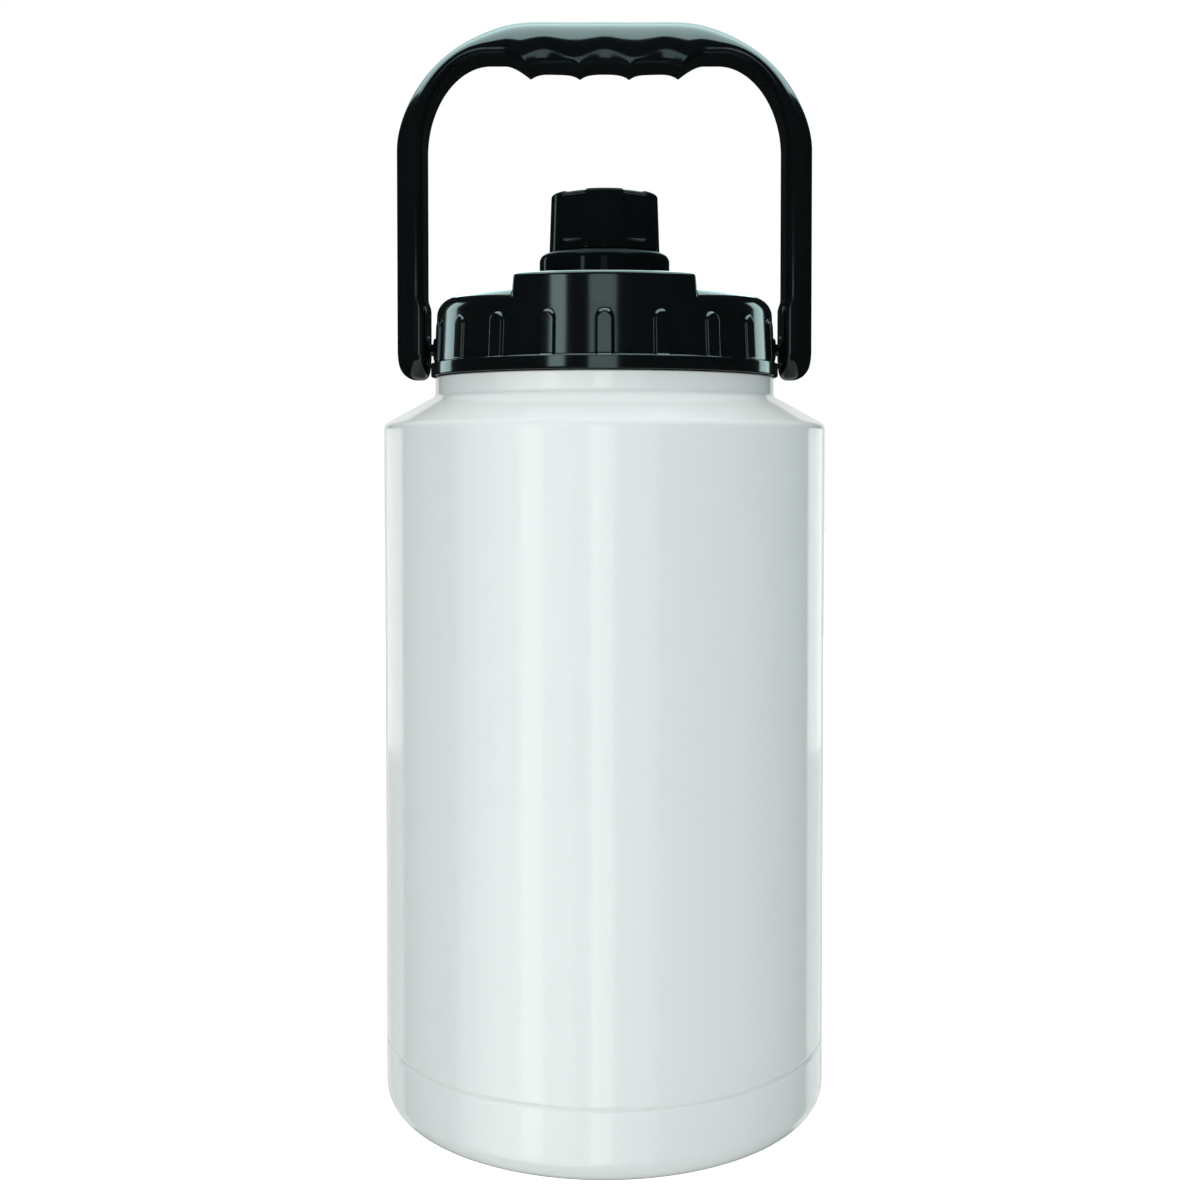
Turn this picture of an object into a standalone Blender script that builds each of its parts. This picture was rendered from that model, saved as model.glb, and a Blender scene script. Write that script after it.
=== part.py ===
"""One-gallon insulated jug: painted steel vessel, ribbed screw lid, pour cap, swinging handle.

Units are metres and +Z is up. The origin is the middle of the circle that the jug stands on.
The pictured side faces -Y. The handle stands upright and turns about an axis along X.
"""

import math

import bmesh
import bpy
from mathutils import Matrix, Vector

# Clearance between two pieces that touch
GAP = 0.0003

# Vessel, a round painted steel body
VESSEL_RADIUS = 0.0760
BASE_EDGE_RADIUS = 0.0080
BASE_RECESS_RADIUS = 0.0560
BASE_RECESS_DEPTH = 0.0020
BASE_RECESS_SLOPE = 0.0020
GROOVE_HEIGHT = 0.0243
GROOVE_HALF_WIDTH = 0.0008
GROOVE_DEPTH = 0.0005
SHOULDER_HEIGHT = 0.2325
SHOULDER_EDGE_RADIUS = 0.0025
CONE_ANGLE = math.radians(29)
NECK_RADIUS = 0.0585
NECK_FOOT_RADIUS = 0.0015
NECK_TOP = 0.2502
NECK_LIP = 0.0005
VESSEL_SIDES = 72

# Lid, one moulding with a bottom ring, a drafted wall, ribs and a raised bridge
LID_BOTTOM = NECK_TOP + GAP
RING_RADIUS = 0.0600
RING_TOP = 0.2549
RING_EDGE = 0.0003
WALL_FOOT_RADIUS = 0.0587
WALL_TOP_RADIUS = 0.0579
WALL_TOP = 0.2710
LID_SHOULDER_RADIUS = 0.0060
LID_SIDES = 80
RIB_COUNT = 20
RIB_CREST_HALF_WIDTH = 0.0021
RIB_FOOT_HALF_WIDTH = 0.0031
RIB_TOP = 0.2690
RIB_PROUD = 0.0011
RIB_ROOT = 0.0012
BRIDGE_TOP = 0.2813
BRIDGE_HALF_WIDTH = 0.0289
BRIDGE_DRAFT = 0.09
BRIDGE_EDGE_RADIUS = 0.0014
BRIDGE_ROOT = 0.0030

# Spout collar and pour cap
COLLAR_RADIUS = 0.0225
COLLAR_TOP = 0.2930
COLLAR_EDGE_RADIUS = 0.0029
CAP_FOOT_RADIUS = 0.0191
CAP_TOP_RADIUS = 0.0184
CAP_TOP = 0.3134
CAP_EDGE_RADIUS = 0.0012
CAP_FOOT_CHAMFER = 0.0003
CAP_SIDES = 60
FLUTE_COUNT = 5
FLUTE_RADIUS = 0.0200
FLUTE_DEPTH = 0.0014
FLUTE_FOOT = 0.2956
FLUTE_FOOT_RADIUS = 0.0025
FLUTE_TOOL_SIDES = 90

# Handle, one moulding with two studs that snap into sockets in the lid
PIVOT_HEIGHT = 0.2600
HANDLE_HALF_DEPTH = 0.0105
LEG_OUTER = 0.0714
LEG_INNER = 0.0620
HANDLE_TOP = 0.3728
OUTER_CORNER = (0.0460, 0.0445)
OUTER_POWER = 1.80
INNER_CORNER = (0.0219, 0.0311)
INNER_TOP = 0.3600
INNER_POWER = 1.85
SPINE_X = 0.0670
SPINE_TOP = 0.3660
SPINE_CORNER = (0.0330, 0.0380)
LEG_MIDDLE = 0.2950
CORNER_STEPS = 13
SCALLOPS_STEPS = 15
LEG_CROWN_RADIUS = 0.0062
LEG_UNDER_RADIUS = 0.0026
LEG_END_STEPS = 16
GRIP_CROWN_RADIUS = 0.0100
GRIP_UNDER_RADIUS = 0.0024
LEG_TO_GRIP = (0.0650, 0.0420)
SCALLOP_HALF_WIDTH = 0.0086
SCALLOP_RIDGE_DROP = 0.0048
SCALLOP_DEPTH = 0.0018
SCALLOP_POWER = 4
GRIP_FLANK_WIDTH = 0.0087
GRIP_FLANK_POWER = 1.6
PAD_PROUD = 0.0010
PAD_TOP = 0.2745
PAD_RAMP_TOP = 0.2775
PIVOT_BOSS_RADIUS = 0.0044
PIVOT_BOSS_FACE = 0.0606
STUD_RADIUS = 0.0021
STUD_END = 0.0545
SOCKET_END = 0.0542
LID_BOSS_RADIUS = 0.0040
LID_BOSS_FACE = 0.0593

# Colours and finishes
PAINT = (0.76, 0.81, 0.80)
BLACK = (0.012, 0.014, 0.015)


def clear_scene():
    """Remove the objects that are already in the scene."""
    for item in list(bpy.data.objects):
        bpy.data.objects.remove(item, do_unlink=True)


def make_material(name, colour, roughness):
    """A plain Principled material."""
    material = bpy.data.materials.new(name)
    material.use_nodes = True
    shader = material.node_tree.nodes["Principled BSDF"]
    shader.inputs["Base Color"].default_value = (*colour, 1.0)
    shader.inputs["Roughness"].default_value = roughness
    shader.inputs["Metallic"].default_value = 0.0
    return material


def arc(centre, radius, start, end, steps):
    """Points on an arc in the outline's plane, the angles in degrees."""
    points = []
    for step in range(steps + 1):
        angle = math.radians(start + (end - start) * step / steps)
        points.append((centre[0] + radius * math.cos(angle), centre[1] + radius * math.sin(angle)))
    return points


def add_object(name, mesh, material=None):
    """Close a bmesh, point its faces out and put it in the scene."""
    bmesh.ops.remove_doubles(mesh, verts=mesh.verts[:], dist=0.00001)
    bmesh.ops.recalc_face_normals(mesh, faces=mesh.faces[:])
    data = bpy.data.meshes.new(name)
    mesh.to_mesh(data)
    mesh.free()
    item = bpy.data.objects.new(name, data)
    bpy.context.scene.collection.objects.link(item)
    if material:
        data.materials.append(material)
        data.shade_smooth()
        data.set_sharp_from_angle(angle=math.radians(32))
    return item


def turn_outline(outline, sides):
    """Spin an outline of (radius, height) points once round the Z axis."""
    mesh = bmesh.new()
    verts = [mesh.verts.new((radius, 0.0, height)) for radius, height in outline]
    edges = [mesh.edges.new(pair) for pair in zip(verts, verts[1:])]
    bmesh.ops.spin(mesh, geom=verts + edges, cent=(0, 0, 0), axis=(0, 0, 1),
                   angle=math.tau, steps=sides, use_merge=True)
    return mesh


def as_tool(item, collection):
    """Make an object a hidden Boolean tool that belongs to one collection."""
    bpy.context.scene.collection.objects.unlink(item)
    collection.objects.link(item)
    item.hide_render = True
    item.display_type = "WIRE"


def tool_collection(name):
    """A collection for the tools of one Boolean."""
    collection = bpy.data.collections.new(name)
    bpy.context.scene.collection.children.link(collection)
    return collection


def add_boolean(item, collection, operation):
    """Join or cut an object with all the tools in a collection."""
    modifier = item.modifiers.new(operation.lower(), "BOOLEAN")
    modifier.operation = operation
    modifier.operand_type = "COLLECTION"
    modifier.collection = collection


def vessel_outline():
    """Foot recess, rounded base edge, groove, straight side, cone and neck."""
    ring_start = BASE_RECESS_RADIUS + BASE_RECESS_SLOPE
    edge_centre = (VESSEL_RADIUS - BASE_EDGE_RADIUS, BASE_EDGE_RADIUS)
    cone_turn = math.degrees(CONE_ANGLE)
    shoulder_centre_x = VESSEL_RADIUS - SHOULDER_EDGE_RADIUS
    shoulder = arc((shoulder_centre_x, SHOULDER_HEIGHT), SHOULDER_EDGE_RADIUS, 0, 90 - cone_turn, 4)
    cone_start = shoulder[-1]
    fillet_centre_x = NECK_RADIUS + NECK_FOOT_RADIUS
    fillet_end_x = fillet_centre_x - NECK_FOOT_RADIUS * math.sin(CONE_ANGLE)
    cone_top = cone_start[1] + (cone_start[0] - fillet_end_x) * math.tan(CONE_ANGLE)
    fillet_centre_z = cone_top + NECK_FOOT_RADIUS * math.cos(CONE_ANGLE)
    fillet = arc((fillet_centre_x, fillet_centre_z), NECK_FOOT_RADIUS, 270 - cone_turn, 180, 3)
    return [
        (0.0, BASE_RECESS_DEPTH),
        (BASE_RECESS_RADIUS, BASE_RECESS_DEPTH),
        (ring_start, 0.0),
        *arc(edge_centre, BASE_EDGE_RADIUS, -90, 0, 6),
        (VESSEL_RADIUS, GROOVE_HEIGHT - GROOVE_HALF_WIDTH),
        (VESSEL_RADIUS - GROOVE_DEPTH, GROOVE_HEIGHT),
        (VESSEL_RADIUS, GROOVE_HEIGHT + GROOVE_HALF_WIDTH),
        *shoulder,
        *fillet,
        (NECK_RADIUS, NECK_TOP - NECK_LIP),
        (NECK_RADIUS - NECK_LIP, NECK_TOP),
        (0.0, NECK_TOP),
    ]


def lid_outline():
    """Bottom ring with its ledge, drafted wall and rounded shoulder."""
    shoulder_centre = (WALL_TOP_RADIUS - LID_SHOULDER_RADIUS, WALL_TOP)
    return [
        (0.0, LID_BOTTOM),
        (RING_RADIUS - RING_EDGE, LID_BOTTOM),
        (RING_RADIUS, LID_BOTTOM + RING_EDGE),
        (RING_RADIUS, RING_TOP - RING_EDGE),
        (RING_RADIUS - RING_EDGE, RING_TOP),
        (WALL_FOOT_RADIUS, RING_TOP),
        *arc(shoulder_centre, LID_SHOULDER_RADIUS, 0, 90, 5),
        (0.0, WALL_TOP + LID_SHOULDER_RADIUS),
    ]


def wall_radius(height):
    """Radius of the lid's drafted wall at a height."""
    share = (height - RING_TOP) / (WALL_TOP - RING_TOP)
    return WALL_FOOT_RADIUS + share * (WALL_TOP_RADIUS - WALL_FOOT_RADIUS)


def rib_loop(half_width, proud):
    """An upright slot shape with a half-round top, standing proud of the wall."""
    foot = RING_TOP - GAP * 3
    crown = RIB_TOP - RIB_FOOT_HALF_WIDTH
    flat = [(half_width, foot), *arc((0.0, crown), half_width, 0, 180, 6), (-half_width, foot)]
    return [(across, -(wall_radius(height) + proud), height) for across, height in flat]


def rib_mesh(turn):
    """One rib: its crest and its wider root joined by sloping flanks, turned into its place."""
    mesh = bmesh.new()
    crest = [mesh.verts.new(point) for point in rib_loop(RIB_CREST_HALF_WIDTH, RIB_PROUD)]
    root = [mesh.verts.new(point) for point in rib_loop(RIB_FOOT_HALF_WIDTH, -RIB_ROOT)]
    crest_edges = [mesh.edges.new((crest[i - 1], crest[i])) for i in range(len(crest))]
    root_edges = [mesh.edges.new((root[i - 1], root[i])) for i in range(len(root))]
    bmesh.ops.bridge_loops(mesh, edges=crest_edges + root_edges)
    bmesh.ops.contextual_create(mesh, geom=crest_edges)
    bmesh.ops.contextual_create(mesh, geom=root_edges)
    bmesh.ops.rotate(mesh, verts=mesh.verts[:], cent=(0, 0, 0), matrix=Matrix.Rotation(turn, 3, "Z"))
    return mesh


def bridge_mesh():
    """The raised bridge: straight drafted sides, front and back flush with the round wall."""
    mesh = bmesh.new()
    loops = []
    for height in (WALL_TOP - BRIDGE_ROOT, BRIDGE_TOP):
        half_width = BRIDGE_HALF_WIDTH + BRIDGE_DRAFT * (BRIDGE_TOP - height)
        reach = math.degrees(math.asin(half_width / WALL_TOP_RADIUS))
        front = arc((0.0, 0.0), WALL_TOP_RADIUS, 270 - reach, 270 + reach, 14)
        back = arc((0.0, 0.0), WALL_TOP_RADIUS, 90 - reach, 90 + reach, 14)
        loops.append([mesh.verts.new((x, y, height)) for x, y in front + back])
    edges = []
    for loop in loops:
        edges.append([mesh.edges.new((loop[i - 1], loop[i])) for i in range(len(loop))])
    bmesh.ops.bridge_loops(mesh, edges=edges[0] + edges[1])
    bmesh.ops.contextual_create(mesh, geom=edges[0])
    bmesh.ops.contextual_create(mesh, geom=edges[1])
    bmesh.ops.bevel(mesh, geom=edges[1], offset=BRIDGE_EDGE_RADIUS, segments=2, profile=0.5,
                    affect="EDGES")
    return mesh


def turn_along_x(outline, sides, side):
    """Spin an outline of (radius, distance out) points round the pivot axis, on one side."""
    mesh = turn_outline(outline, sides)
    aim = Matrix.Rotation(side * math.pi / 2, 4, "Y")
    bmesh.ops.transform(mesh, verts=mesh.verts[:], matrix=Matrix.Translation((0, 0, PIVOT_HEIGHT)) @ aim)
    return mesh


def build_lid(material):
    """Turned lid, with the bridge, ribs and pivot bosses joined on and two sockets cut."""
    lid = add_object("lid", turn_outline(lid_outline(), LID_SIDES), material)
    raised = tool_collection("lid_raised_forms")
    as_tool(add_object("bridge_form", bridge_mesh()), raised)
    for index in range(RIB_COUNT):
        turn = index * math.tau / RIB_COUNT
        at_pivot = index % (RIB_COUNT // 2) == RIB_COUNT // 4
        if not at_pivot:
            as_tool(add_object(f"rib_form_{index}", rib_mesh(turn)), raised)
    sockets = tool_collection("lid_sockets")
    boss = [(0.0, WALL_TOP_RADIUS - RIB_ROOT), (LID_BOSS_RADIUS, WALL_TOP_RADIUS - RIB_ROOT),
            (LID_BOSS_RADIUS, LID_BOSS_FACE - GAP), (LID_BOSS_RADIUS - GAP, LID_BOSS_FACE),
            (0.0, LID_BOSS_FACE)]
    socket = [(0.0, SOCKET_END), (STUD_RADIUS + GAP, SOCKET_END),
              (STUD_RADIUS + GAP, RING_RADIUS), (0.0, RING_RADIUS)]
    for name, side in (("left", -1), ("right", 1)):
        as_tool(add_object(f"boss_form_{name}", turn_along_x(boss, 20, side)), raised)
        as_tool(add_object(f"socket_form_{name}", turn_along_x(socket, 16, side)), sockets)
    add_boolean(lid, raised, "UNION")
    add_boolean(lid, sockets, "DIFFERENCE")
    return lid


def build_collar(material):
    """The round collar that the spout rises from."""
    foot = BRIDGE_TOP + GAP
    centre = (COLLAR_RADIUS - COLLAR_EDGE_RADIUS, COLLAR_TOP - COLLAR_EDGE_RADIUS)
    outline = [(0.0, foot), (COLLAR_RADIUS, foot), *arc(centre, COLLAR_EDGE_RADIUS, 0, 90, 4),
               (0.0, COLLAR_TOP)]
    return add_object("spout_collar", turn_outline(outline, 60), material)


def build_cap(material):
    """Tapered pour cap with finger flutes that are open at the top."""
    foot = COLLAR_TOP + GAP
    centre = (CAP_TOP_RADIUS - CAP_EDGE_RADIUS, CAP_TOP - CAP_EDGE_RADIUS)
    outline = [(0.0, foot), (CAP_FOOT_RADIUS - CAP_FOOT_CHAMFER, foot),
               (CAP_FOOT_RADIUS, foot + CAP_FOOT_CHAMFER), *arc(centre, CAP_EDGE_RADIUS, 0, 90, 4),
               (0.0, CAP_TOP)]
    cap = add_object("pour_cap", turn_outline(outline, CAP_SIDES), material)
    flutes = tool_collection("cap_flutes")
    taper = math.atan((CAP_FOOT_RADIUS - CAP_TOP_RADIUS) / (CAP_TOP - foot))
    offset = CAP_FOOT_RADIUS - FLUTE_DEPTH + FLUTE_RADIUS
    cutter = [(0.0, 0.0),
              *arc((FLUTE_RADIUS - FLUTE_FOOT_RADIUS, FLUTE_FOOT_RADIUS), FLUTE_FOOT_RADIUS, -90, 0, 4),
              (FLUTE_RADIUS, CAP_TOP - foot), (0.0, CAP_TOP - foot)]
    for index in range(FLUTE_COUNT):
        turn = math.pi + index * math.tau / FLUTE_COUNT
        mesh = turn_outline(cutter, FLUTE_TOOL_SIDES)
        place = (Matrix.Rotation(turn, 4, "Z") @ Matrix.Translation((0.0, -offset, FLUTE_FOOT))
                 @ Matrix.Rotation(-taper, 4, "X"))
        bmesh.ops.transform(mesh, verts=mesh.verts[:], matrix=place)
        as_tool(add_object(f"flute_form_{index}", mesh), flutes)
    add_boolean(cap, flutes, "DIFFERENCE")
    return cap


def corner_level(x, z, top, edge, corner, power):
    """Below 0 under an arch with straight sides, a flat top and superellipse corners."""
    across = max(x - (edge - corner[0]), 0.0) / corner[0]
    up = max(z - (top - corner[1]), 0.0) / corner[1]
    return across ** power + up ** power - 1.0


def grip_drop(x):
    """How far the grip's underside hangs below the handle's plain underside."""
    reach = 3 * SCALLOP_HALF_WIDTH
    if x >= reach:
        share = min((x - reach) / GRIP_FLANK_WIDTH, 1.0)
        return SCALLOP_RIDGE_DROP * (1.0 - share) ** GRIP_FLANK_POWER
    step = 2 * SCALLOP_HALF_WIDTH
    share = (x - step * round(x / step)) / SCALLOP_HALF_WIDTH
    return SCALLOP_RIDGE_DROP - SCALLOP_DEPTH * (1.0 - share ** SCALLOP_POWER)


def outer_level(x, z):
    """Above 0 outside the handle's outer outline."""
    return corner_level(x, z, HANDLE_TOP, LEG_OUTER, OUTER_CORNER, OUTER_POWER)


def inner_level(x, z):
    """Below 0 in the open space that the handle spans."""
    return corner_level(x, z + grip_drop(x), INNER_TOP, LEG_INNER, INNER_CORNER, INNER_POWER)


def reach_outline(level, point, way):
    """Distance from a point, along a way, to where a level is 0, found by halving."""
    low = 0.0
    high = 0.03
    start = level(*point)
    for _ in range(40):
        middle = (low + high) / 2
        value = level(point[0] + way[0] * middle, point[1] + way[1] * middle)
        if value * start > 0:
            low = middle
        else:
            high = middle
    return (low + high) / 2


def spine_half():
    """Stations from the pivot to the middle of the grip: point and the way that faces out."""
    stations = []
    for height in (PIVOT_HEIGHT, PAD_TOP, PAD_RAMP_TOP, LEG_MIDDLE, SPINE_TOP - SPINE_CORNER[1]):
        stations.append(((SPINE_X, height), (1.0, 0.0)))
    centre = (SPINE_X - SPINE_CORNER[0], SPINE_TOP - SPINE_CORNER[1])
    for step in range(1, CORNER_STEPS):
        angle = math.pi / 2 * step / CORNER_STEPS
        point = (centre[0] + SPINE_CORNER[0] * math.cos(angle), centre[1] + SPINE_CORNER[1] * math.sin(angle))
        way = Vector((math.cos(angle) / SPINE_CORNER[0], math.sin(angle) / SPINE_CORNER[1])).normalized()
        stations.append((point, tuple(way)))
    flank = 3 * SCALLOP_HALF_WIDTH
    places = [flank + GRIP_FLANK_WIDTH * share for share in (0.75, 0.5, 0.25)]
    places += [flank * (1 - step / SCALLOPS_STEPS) for step in range(SCALLOPS_STEPS)]
    places.append(0.0)
    for x in places:
        stations.append(((x, SPINE_TOP), (0.0, 1.0)))
    return stations


def section_loop(point, way, pad):
    """A rectangle with rounded corners across the handle, rounder on its crown, as (x, y, z) points."""
    outward = reach_outline(outer_level, point, way)
    inward = reach_outline(inner_level, point, (-way[0], -way[1])) + pad
    grip_share = (LEG_TO_GRIP[0] - point[0]) / (LEG_TO_GRIP[0] - LEG_TO_GRIP[1])
    grip_share = min(max(grip_share, 0.0), 1.0)
    crown = LEG_CROWN_RADIUS + (GRIP_CROWN_RADIUS - LEG_CROWN_RADIUS) * grip_share
    under = LEG_UNDER_RADIUS + (GRIP_UNDER_RADIUS - LEG_UNDER_RADIUS) * grip_share
    crown = min(crown, outward + inward - under - GAP)
    corners = ((0, outward - crown, 1, crown), (90, under - inward, 1, under),
               (180, under - inward, -1, under), (270, outward - crown, -1, crown))
    loop = []
    for start, along, side, radius in corners:
        centre = (along, side * (HANDLE_HALF_DEPTH - radius))
        for out, y in arc(centre, radius, start, start + 90, 3):
            loop.append((point[0] + way[0] * out, y, point[1] + way[1] * out))
    return loop


def handle_loops():
    """Section loops from the left leg's pivot, over the grip, to the right leg's pivot."""
    right = []
    for point, way in spine_half():
        ramp = min(max((PAD_RAMP_TOP - point[1]) / (PAD_RAMP_TOP - PAD_TOP), 0.0), 1.0)
        right.append(section_loop(point, way, PAD_PROUD * ramp))
    left = [[(-x, y, z) for x, y, z in loop] for loop in right]
    return left + right[-2::-1]


def add_leg_end(mesh, loop):
    """Close a leg with a half-round end: the half of its loop at +Y turned about the pivot axis."""
    half = loop[:len(loop) // 2]
    profile = [(half[0][0], 0.0), *[(x, y) for x, y, _ in half], (half[-1][0], 0.0)]
    rings = []
    for step in range(LEG_END_STEPS + 1):
        angle = math.pi * step / LEG_END_STEPS
        rings.append([mesh.verts.new((x, y * math.cos(angle), PIVOT_HEIGHT - y * math.sin(angle)))
                      for x, y in profile])
    last = len(profile) - 2
    for ring, following in zip(rings, rings[1:]):
        mesh.faces.new((ring[0], ring[1], following[1]))
        for i in range(1, last):
            mesh.faces.new((ring[i], ring[i + 1], following[i + 1], following[i]))
        mesh.faces.new((ring[last], ring[last + 1], following[last]))


def build_handle(material):
    """Handle lofted through its section loops, with rounded leg ends, pivot bosses and studs."""
    mesh = bmesh.new()
    loops = handle_loops()
    rings = [[mesh.verts.new(point) for point in loop] for loop in loops]
    count = len(rings[0])
    for ring, following in zip(rings, rings[1:]):
        for i in range(count):
            mesh.faces.new((ring[i - 1], ring[i], following[i], following[i - 1]))
    add_leg_end(mesh, loops[0])
    add_leg_end(mesh, loops[-1])
    handle = add_object("handle", mesh, material)
    studs = tool_collection("handle_studs")
    stud = [(0.0, STUD_END), (STUD_RADIUS - GAP, STUD_END), (STUD_RADIUS, STUD_END + GAP),
            (STUD_RADIUS, PIVOT_BOSS_FACE - 2 * GAP), (STUD_RADIUS + 2 * GAP, PIVOT_BOSS_FACE),
            (PIVOT_BOSS_RADIUS - 2 * GAP, PIVOT_BOSS_FACE), (PIVOT_BOSS_RADIUS, PIVOT_BOSS_FACE + GAP),
            (PIVOT_BOSS_RADIUS, SPINE_X), (0.0, SPINE_X)]
    for name, side in (("left", -1), ("right", 1)):
        as_tool(add_object(f"stud_form_{name}", turn_along_x(stud, 16, side)), studs)
    add_boolean(handle, studs, "UNION")
    set_origin(handle, (0.0, 0.0, PIVOT_HEIGHT))
    return handle


def set_origin(item, place):
    """Move an object's origin and leave its mesh where it is."""
    item.data.transform(Matrix.Translation([-value for value in place]))
    item.location = place


def build_jug():
    """Make every piece of the jug."""
    clear_scene()
    paint = make_material("white_paint", PAINT, 0.22)
    lid_plastic = make_material("lid_plastic", BLACK, 0.20)
    spout_plastic = make_material("spout_plastic", BLACK, 0.22)
    handle_plastic = make_material("handle_plastic", BLACK, 0.24)
    add_object("vessel", turn_outline(vessel_outline(), VESSEL_SIDES), paint)
    build_lid(lid_plastic)
    build_collar(spout_plastic)
    build_cap(spout_plastic)
    build_handle(handle_plastic)


build_jug()
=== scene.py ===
"""One-gallon insulated jug: painted steel vessel, ribbed black lid, fluted pour cap, swinging carry handle.

Everything is in metres, +Z up, with the jug's axis on Z and its pictured side towards -Y.
Each section is one piece of the jug, in the order in which the jug is put together.
"""

import math

import bmesh
import bpy
import numpy as np
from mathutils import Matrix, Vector


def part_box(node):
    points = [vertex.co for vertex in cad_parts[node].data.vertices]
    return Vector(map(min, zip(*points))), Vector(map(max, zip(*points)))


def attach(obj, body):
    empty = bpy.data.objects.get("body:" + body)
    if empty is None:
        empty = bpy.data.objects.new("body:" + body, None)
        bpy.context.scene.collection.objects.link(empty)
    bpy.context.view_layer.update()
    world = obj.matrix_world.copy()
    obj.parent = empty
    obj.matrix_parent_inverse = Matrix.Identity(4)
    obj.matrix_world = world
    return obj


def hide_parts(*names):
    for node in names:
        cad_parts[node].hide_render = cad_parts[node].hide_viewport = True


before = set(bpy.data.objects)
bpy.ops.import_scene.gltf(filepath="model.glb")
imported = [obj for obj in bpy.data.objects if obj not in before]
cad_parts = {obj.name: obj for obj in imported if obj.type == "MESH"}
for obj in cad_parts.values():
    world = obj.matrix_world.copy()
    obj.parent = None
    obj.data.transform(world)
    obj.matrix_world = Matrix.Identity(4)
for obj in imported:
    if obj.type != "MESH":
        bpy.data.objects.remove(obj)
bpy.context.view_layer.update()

# The camera stands in front of the jug, a little under the lid, and looks almost level. Its lens is long for
# so near a place, and the frame is shifted down so that the jug's sides stay upright.
CAMERA_DISTANCE = 0.5464
CAMERA_HEIGHT = 0.2239
CAMERA_LENS = 46.99
CAMERA_PITCH = math.radians(1.736)
CAMERA_SHIFT = (-0.00375, -0.082)

camera_data = bpy.data.cameras.new("camera")
camera_data.lens = CAMERA_LENS
camera_data.shift_x, camera_data.shift_y = CAMERA_SHIFT
camera_data.clip_start = 0.01
camera = bpy.data.objects.new("camera", camera_data)
camera.location = (0.0, -CAMERA_DISTANCE, CAMERA_HEIGHT)
camera.rotation_euler = (math.pi / 2 - CAMERA_PITCH, 0.0, 0.0)
bpy.context.scene.collection.objects.link(camera)
bpy.context.scene.camera = camera


# The vessel is a double wall of spun steel with a groove rolled in near its foot. It is sprayed and baked in
# glossy off-white paint. Its profile is turned once round Z.
VESSEL_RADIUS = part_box("vessel")[1].x
NECK_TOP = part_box("vessel")[1].z
BASE_EDGE_RADIUS = 0.0080
BASE_RECESS_RADIUS = 0.0560
BASE_RECESS_DEPTH = 0.0020
GROOVE_HEIGHT = 0.0243
GROOVE_HALF_WIDTH = 0.0011
GROOVE_DEPTH = 0.0005
SHOULDER_HEIGHT = 0.2325
SHOULDER_EDGE_RADIUS = 0.0025
CONE_ANGLE = math.radians(29)
NECK_RADIUS = 0.0585
NECK_FOOT_RADIUS = 0.0015
NECK_LIP = 0.0005
VESSEL_COLUMNS = 288
PAINT_COLOUR = (0.84, 0.845, 0.835)


def line(start, end, count):
    """Points on a straight run, closer near both ends: the share of the way is (1 - cos(pi t)) / 2."""
    share = (1 - np.cos(np.linspace(0, np.pi, count))) / 2
    return np.asarray(start) + share[:, None] * (np.asarray(end) - np.asarray(start))


def arc(centre, radius, start, end, count):
    """Points on part of a circle: centre + radius (cos a, sin a), with a in even steps between two angles."""
    angle = np.radians(np.linspace(start, end, count))
    return np.asarray(centre) + radius * np.stack([np.cos(angle), np.sin(angle)], axis=-1)


def turned(profile, columns):
    """A grid with a row for each (radius, height) of a profile, turned about Z: (r sin a, -r cos a, z)."""
    angle = np.arange(columns) * (math.tau / columns)
    radius = profile[:, :1]
    height = np.broadcast_to(profile[:, 1:], (len(profile), columns))
    return np.stack([radius * np.sin(angle), -radius * np.cos(angle), height], axis=-1)


def add_surface(name, material, rings, sheets=()):
    """One closed mesh from grids of points: rows that are rings, and open sheets that meet them edge to edge.
    Points in one place are merged, which also closes a row that has shrunk to a point."""
    points = []
    faces = []
    start = 0
    for grid, is_ring in [(grid, True) for grid in rings] + [(grid, False) for grid in sheets]:
        rows, columns = grid.shape[:2]
        number = start + np.arange(rows * columns).reshape(rows, columns)
        following = np.roll(number, -1, axis=1)
        quads = np.stack([number[:-1], following[:-1], following[1:], number[1:]], axis=-1)
        faces.append(quads[:, :columns if is_ring else columns - 1].reshape(-1, 4))
        points.append(grid.reshape(-1, 3))
        start += rows * columns
    mesh = bpy.data.meshes.new(name)
    mesh.from_pydata(np.concatenate(points), [], np.concatenate(faces))
    skin = bmesh.new()
    skin.from_mesh(mesh)
    bmesh.ops.remove_doubles(skin, verts=skin.verts[:], dist=0.000002)
    bmesh.ops.recalc_face_normals(skin, faces=skin.faces[:])
    skin.to_mesh(mesh)
    skin.free()
    mesh.shade_smooth()
    mesh.materials.append(material)
    piece = bpy.data.objects.new(name, mesh)
    bpy.context.scene.collection.objects.link(piece)
    return piece


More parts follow.
